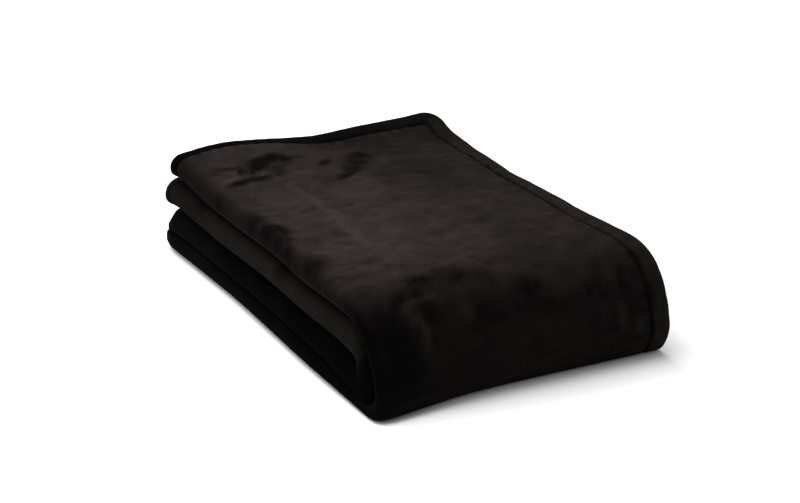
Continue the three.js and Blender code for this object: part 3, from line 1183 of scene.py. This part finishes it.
@dataclass
class HemStitches:
    """The row of stitches in the seam that holds the turned hem."""

    name: str = "hem_stitches"
    pitch: float = 3.6
    length: float = 2.7
    radius: float = 0.42
    sides: int = 6
    girths: Sizes = (0.25, 0.8, 1.0, 0.8, 0.25)
    rises: Sizes = (-0.6, 0.15, 0.4, 0.15, -0.6)
    lowest_run: float = -40.0
    side_stations: int = 2
    front_weight: float = 0.4

    def seam(self, throw: FoldedThrow) -> list[Array]:
        """The lines that the stitches follow on the face that shows.

        Args:
            throw: The cloth that is sewn.

        Returns:
            For each seam an array of points and of outward directions, in metres.
        """
        inset, beyond = HEM.insets.index(HEM.seam), self.side_stations
        face = throw.points[0]
        upper = throw.along.part == Ply.UPPER.value
        down = throw.along.place >= self.lowest_run
        rows = np.flatnonzero(down & upper & (throw.along.flat >= HEM.seam))
        cols = np.flatnonzero((throw.across.part == 0) & (throw.across.flat >= HEM.seam))
        lines = []
        for line, beside in (
            (face[rows, inset], face[rows, inset + beyond] - face[rows, inset - beyond]),
            (face[inset, cols], face[inset - beyond, cols] - face[inset + beyond, cols]),
        ):
            outward = np.cross(np.gradient(line, axis=0), beside)
            outward /= np.linalg.norm(outward, axis=1, keepdims=True)
            shown = outward[:, 2:] - self.front_weight * outward[:, 1:2]
            lines.append(np.stack([line, outward * np.where(shown < 0, -1.0, 1.0)]))
        return lines

    def build(self, throw: FoldedThrow, finish: "ThreadFinish") -> bpy.types.Object:
        """Make the stitches along the seams.

        Args:
            throw: The cloth that is sewn.
            finish: What the thread is made of.

        Returns:
            The stitches, as one object.
        """
        points: list[Array] = []
        faces: list[tuple[int, ...]] = []
        for line, outward in self.seam(throw):
            gone = np.concatenate([[0.0], np.cumsum(np.linalg.norm(np.diff(line, axis=0), axis=1))])
            for start in np.arange(0.0, gone[-1] - self.pitch * MM, self.pitch * MM):
                places = start + np.linspace(0.0, self.length * MM, len(self.girths))
                bead, up = (
                    np.stack([np.interp(places, gone, values[:, axis]) for axis in range(3)], axis=1)
                    for values in (line, outward)
                )
                self.add_stitch(bead, up, points, faces)
        thread = make_mesh(self.name, np.concatenate(points).tolist(), faces, finish.build())
        thread.data.shade_smooth()
        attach(thread, BODY)
        return thread

    def add_stitch(self, bead: Array, up: Array, points: list[Array], faces: list[tuple[int, ...]]) -> None:
        """Add one stitch: a short bead of thread whose ends dip into the cloth.

        Args:
            bead: Points along the stitch, one for each girth.
            up: Outward directions there.
            points: Points made so far, added to.
            faces: Faces made so far, added to.
        """
        first = sum(len(group) for group in points)
        forward = bead[-1] - bead[0]
        forward /= np.linalg.norm(forward)
        turns = 2 * np.pi * np.arange(self.sides)[:, None] / self.sides
        for place, out, girth, rise in zip(bead, up, self.girths, self.rises):
            away = np.cos(turns) * np.cross(forward, out) + np.sin(turns) * out
            points.append(place + out * rise * self.radius * MM + away * girth * self.radius * MM)
        last = first + (len(self.girths) - 1) * self.sides
        for ring in range(first, last, self.sides):
            for side in range(self.sides):
                a, b = ring + side, ring + (side + 1) % self.sides
                faces.append((a, b, b + self.sides, a + self.sides))
        faces.append(tuple(first + side for side in reversed(range(self.sides))))
        faces.append(tuple(last + side for side in range(self.sides)))


def show(name: str, data: bpy.types.ID) -> bpy.types.Object:
    """Make an object and put it into the scene.

    Args:
        name: Its name.
        data: Its mesh, light or camera.

    Returns:
        The object.
    """
    item = bpy.data.objects.new(name, data)
    bpy.context.scene.collection.objects.link(item)
    return item


def make_mesh(name: str, points: list, faces: list, material: bpy.types.Material) -> bpy.types.Object:
    """Make a visible mesh.

    Args:
        name: Name of the object and of its mesh.
        points: Corners in metres.
        faces: Numbers of the corners of each face.
        material: What it is made of.

    Returns:
        The object, in the scene.
    """
    mesh = bpy.data.meshes.new(name)
    mesh.from_pydata(points, [], faces)
    mesh.materials.append(material)
    return show(name, mesh)


# Finishes


@dataclass(frozen=True)
class Graph:
    """A node tree that is being built.

    What is given to a node is a socket to link or a value to set, by the name or number of
    the node's input.
    """

    tree: bpy.types.NodeTree

    def give(self, node: bpy.types.Node, given: Given) -> None:
        """Link or set a node's inputs.

        Args:
            node: The node.
            given: What it is given.
        """
        for label, value in given.items():
            if isinstance(value, Socket):
                self.tree.links.new(value, node.inputs[label])
            else:
                node.inputs[label].default_value = value

    def add(self, kind: str, given: Given, **settings: str | bool) -> bpy.types.NodeOutputs:
        """Add a node.

        Args:
            kind: Its type.
            given: What it is given.
            settings: Its own settings.

        Returns:
            Its outputs.
        """
        node = self.tree.nodes.new(kind)
        for name, value in settings.items():
            setattr(node, name, value)
        self.give(node, given)
        return node.outputs

    def blend(self, share: Socket, a: Socket | Colour, b: Socket | Colour) -> Socket:
        """Blend from the first colour to the second."""
        return self.add("ShaderNodeMix", {"Factor": share, "A": a, "B": b}, data_type="RGBA")["Result"]

    def bumped(self, height: Socket, strength: float, distance: float) -> Socket:
        """Normal of a face that a height makes uneven, up to a distance in millimetres."""
        given = {"Height": height, "Strength": strength, "Distance": distance * MM}
        return self.add("ShaderNodeBump", given)["Normal"]


def fresh_material(name: str) -> tuple[bpy.types.Material, Graph, bpy.types.Node]:
    """Start a material.

    Args:
        name: Its name.

    Returns:
        The material, its nodes and its Principled shader.
    """
    material = bpy.data.materials.new(name)
    material.use_nodes = True
    return material, Graph(material.node_tree), material.node_tree.nodes["Principled BSDF"]


@dataclass
class PileTexture:
    """Unevenness of a fibre surface, as a node group that every finish can use.

    Each noise is the name of its scale, the scale itself and how much detail it has.
    """

    name: str = "fibre_unevenness"
    noises: tuple[tuple[str, float, float], ...] = (
        ("Patch Scale", 40.0, 4.0),
        ("Tuft Scale", 260.0, 3.0),
        ("Fibre Scale", 900.0, 2.0),
    )
    roughness: float = 0.6
    tuft_share: float = 0.5
    fibre_share: float = 0.45
    group: bpy.types.NodeTree | None = None

    def tree(self) -> bpy.types.NodeTree:
        """The node group, made when it is first asked for.

        Returns:
            A group from a place and three scales to Mottle and Height, both near 0.5.
        """
        if self.group:
            return self.group
        self.group = bpy.data.node_groups.new(self.name, "ShaderNodeTree")
        graph, face = Graph(self.group), self.group.interface
        face.new_socket("Place", in_out="INPUT", socket_type="NodeSocketVector")
        for label, scale, _ in self.noises:
            face.new_socket(label, in_out="INPUT", socket_type="NodeSocketFloat").default_value = scale
        for label in ("Mottle", "Height"):
            face.new_socket(label, in_out="OUTPUT", socket_type="NodeSocketFloat")
        told = graph.add("NodeGroupInput", {})
        made = []
        for label, _, detail in self.noises:
            given = {"Vector": told["Place"], "Scale": told[label], "Detail": detail}
            given["Roughness"] = self.roughness
            made.append(graph.add("ShaderNodeTexNoise", given)["Fac"])
        patch, tuft, fibre = made
        mottle = graph.add("ShaderNodeMix", {"Factor": self.tuft_share, "A": patch, "B": tuft})
        height = graph.add("ShaderNodeMix", {"Factor": self.fibre_share, "A": tuft, "B": fibre})
        graph.add("NodeGroupOutput", {"Mottle": mottle["Result"], "Height": height["Result"]})
        return self.group

    def place_in(self, graph: Graph, place: Socket, scales: Triple) -> tuple[Socket, Socket]:
        """Put the group into a material.

        Args:
            graph: The material's nodes.
            place: Where on the surface.
            scales: Patch, tuft and fibre scale, per metre.

        Returns:
            Mottle and Height.
        """
        given = {"Place": place} | {noise[0]: scale for noise, scale in zip(self.noises, scales)}
        outputs = graph.add("ShaderNodeGroup", {}, node_tree=self.tree())
        graph.give(outputs[0].node, given)
        return outputs["Mottle"], outputs["Height"]


PILE = PileTexture()


@dataclass(frozen=True)
class PlushFinish:
    """Short, dense, near-black pile, blended from a painted shade colour to a painted lit colour."""

    name: str = "near_black_plush"
    painted_shade_colour: Colour = (0.0009, 0.0012, 0.0013, 1.0)
    painted_shade_warm: Colour = (0.0018, 0.0011, 0.0013, 1.0)
    painted_lit_colour: Colour = (0.0265, 0.0214, 0.0207, 1.0)
    painted_lit_warm: Colour = (0.0308, 0.0219, 0.0226, 1.0)
    sheen: float = 0.010
    sheen_roughness: float = 0.35
    sheen_tint: Colour = (1.0, 0.93, 0.92, 1.0)
    stretch: Triple = (1.0, 1.05, 1.0)
    scales: Triple = (60.0, 210.0, 800.0)
    mottle_from: Pair = (0.32, 0.68)
    mottle_to: Pair = (0.7, 1.3)
    mottle_mean: float = 0.5
    ragged: float = 2.0
    patch_range: Pair = (0.06, 1.02)
    patch_depth: float = 0.9
    roughness: Pair = (0.84, 1.0)
    bump_strength: float = 0.35
    bump_distance: float = 1.2

    def build(self) -> bpy.types.Material:
        """Make the material.

        Returns:
            The plush material.
        """
        material, graph, shader = fresh_material(self.name)

        def read(name: str, kind: str = "Fac") -> Socket:
            """One of the mesh's attributes."""
            return graph.add("ShaderNodeAttribute", {}, attribute_name=name)[kind]

        def math(operation: str, *values: Socket | float, **settings: bool) -> Socket:
            """The result of some arithmetic."""
            return graph.add("ShaderNodeMath", dict(enumerate(values)), operation=operation, **settings)[0]

        def spread(value: Socket, source: Pair, to: Pair, **settings: str | bool) -> Socket:
            """A value with its range mapped onto another one."""
            limits = dict(zip(("From Min", "From Max", "To Min", "To Max"), (*source, *to)))
            return graph.add("ShaderNodeMapRange", {"Value": value} | limits, **settings)["Result"]

        given = {0: read("cloth_place", "Vector"), 1: self.stretch}
        place = graph.add("ShaderNodeVectorMath", given, operation="MULTIPLY")["Vector"]
        mottle, height = PILE.place_in(graph, place, self.scales)
        edge = math("MULTIPLY_ADD", mottle, self.ragged, read("dark_pile_and_shade"))
        patch_from = tuple(self.mottle_mean * self.ragged + limit for limit in self.patch_range)
        patch = spread(edge, patch_from, (1.0, 1.0 - self.patch_depth), interpolation_type="SMOOTHSTEP")
        stirred = spread(mottle, self.mottle_from, self.mottle_to, clamp=False)
        light = math("MULTIPLY", read("painted_light_and_shade"), stirred, use_clamp=True)
        light = math("MULTIPLY", light, patch, use_clamp=True)
        warm = read("warmth")
        # Painted shade and painted lit copies of the pile's colour, blended by the painted light and shade
        painted_shade_colour = graph.blend(warm, self.painted_shade_colour, self.painted_shade_warm)
        painted_lit_colour = graph.blend(warm, self.painted_lit_colour, self.painted_lit_warm)
        given = {
            "Base Color": graph.blend(light, painted_shade_colour, painted_lit_colour),
            "Roughness": spread(mottle, (0.0, 1.0), self.roughness),
            "Normal": graph.bumped(height, self.bump_strength, self.bump_distance),
            "Specular IOR Level": 0.0,
            "Sheen Weight": self.sheen,
            "Sheen Roughness": self.sheen_roughness,
            "Sheen Tint": self.sheen_tint,
        }
        graph.give(shader, given)
        return material


@dataclass(frozen=True)
class ThreadFinish:
    """Matt sewing thread, dyed to the colour of the pile."""

    name: str = "near_black_thread"
    dark: Colour = (0.0012, 0.001, 0.001, 1.0)
    light: Colour = (0.006, 0.005, 0.005, 1.0)
    scales: Triple = (120.0, 900.0, 2600.0)
    roughness: float = 0.9
    specular: float = 0.02
    bump_strength: float = 0.5
    bump_distance: float = 0.2

    def build(self) -> bpy.types.Material:
        """Make the material.

        Returns:
            The thread material.
        """
        material, graph, shader = fresh_material(self.name)
        place = graph.add("ShaderNodeTexCoord", {})["Object"]
        mottle, height = PILE.place_in(graph, place, self.scales)
        given = {
            "Base Color": graph.blend(mottle, self.dark, self.light),
            "Normal": graph.bumped(height, self.bump_strength, self.bump_distance),
            "Roughness": self.roughness,
            "Specular IOR Level": self.specular,
        }
        graph.give(shader, given)
        return material


@dataclass(frozen=True)
class FloorFinish:
    """Plain matt white."""

    name: str = "white_floor"
    colour: Colour = (0.86, 0.86, 0.86, 1.0)
    roughness: float = 0.9
    specular: float = 0.1

    def build(self) -> bpy.types.Material:
        """Make the material.

        Returns:
            The floor's material.
        """
        material, graph, shader = fresh_material(self.name)
        given = {"Base Color": self.colour, "Roughness": self.roughness, "Specular IOR Level": self.specular}
        graph.give(shader, given)
        return material


# The studio


@dataclass(frozen=True)
class SoftBox:
    """A square soft light that faces a point above the floor's middle."""

    name: str
    place: Triple
    size: float
    watts: float
    aim: Triple = (0.0, 0.0, 0.06)

    def build(self) -> None:
        """Make the light."""
        light = bpy.data.lights.new(self.name, "AREA")
        light.shape, light.size, light.energy = "SQUARE", self.size, self.watts
        lamp = show(self.name, light)
        lamp.location = self.place
        lamp.rotation_euler = (Vector(self.aim) - Vector(self.place)).to_track_quat("-Z", "Y").to_euler()


@dataclass
class Studio:
    """Floor, light and camera."""

    floor_size: float = 16.0
    sky: float = 0.55
    camera_place: Triple = (-1.3972, -2.6069, 1.2428)
    camera_towards: Triple = (0.4377, 0.8184, -0.3723)
    lens: float = 135.0
    sensor: float = 36.0
    boxes: tuple[SoftBox, ...] = (
        SoftBox("back_softbox", (-0.4, 1.9, 1.5), 2.2, 62.0),
        SoftBox("top_softbox", (-0.3, 0.4, 2.6), 2.4, 60.0),
        SoftBox("left_softbox", (-2.2, 0.3, 1.2), 1.6, 12.0),
    )

    def build(self) -> None:
        """Make the floor, the lights, the sky and the camera."""
        self.build_floor()
        for box in self.boxes:
            box.build()
        self.build_sky()
        self.build_camera()

    def build_floor(self) -> None:
        """Lay the floor at the height that the pack rests on."""
        half = self.floor_size / 2
        corners = [(-half, -half, 0), (half, -half, 0), (half, half, 0), (-half, half, 0)]
        floor = make_mesh("floor", corners, [(0, 1, 2, 3)], FloorFinish().build())

    def build_sky(self) -> None:
        """Fill the room with even white light."""
        world = bpy.data.worlds.new("studio")
        world.use_nodes = True
        background = world.node_tree.nodes["Background"]
        background.inputs["Color"].default_value = (1.0, 1.0, 1.0, 1.0)
        background.inputs["Strength"].default_value = self.sky
        bpy.context.scene.world = world
        bpy.context.scene.view_settings.view_transform = "Standard"

    def build_camera(self) -> None:
        """Set the camera at the photograph's angle."""
        data = bpy.data.cameras.new("camera")
        data.lens, data.sensor_width = self.lens, self.sensor
        camera = show("camera", data)
        camera.location = self.camera_place
        camera.rotation_euler = Vector(self.camera_towards).to_track_quat("-Z", "Y").to_euler()
        bpy.context.scene.camera = camera


def main() -> None:
    """Build the studio and the throw, and report each piece."""
    logging.basicConfig(level=logging.INFO, format="%(message)s")
    Studio().build()
    LOG.info("studio: floor, soft boxes, sky and camera")
    throw = FoldedThrow()
    cloth = throw.build(PlushFinish())
    LOG.info("%s: %d faces", cloth.name, len(cloth.data.polygons))
    stitches = HemStitches().build(throw, ThreadFinish())
    LOG.info("%s: %d faces", stitches.name, len(stitches.data.polygons))


if __name__ == "__main__":
    main()
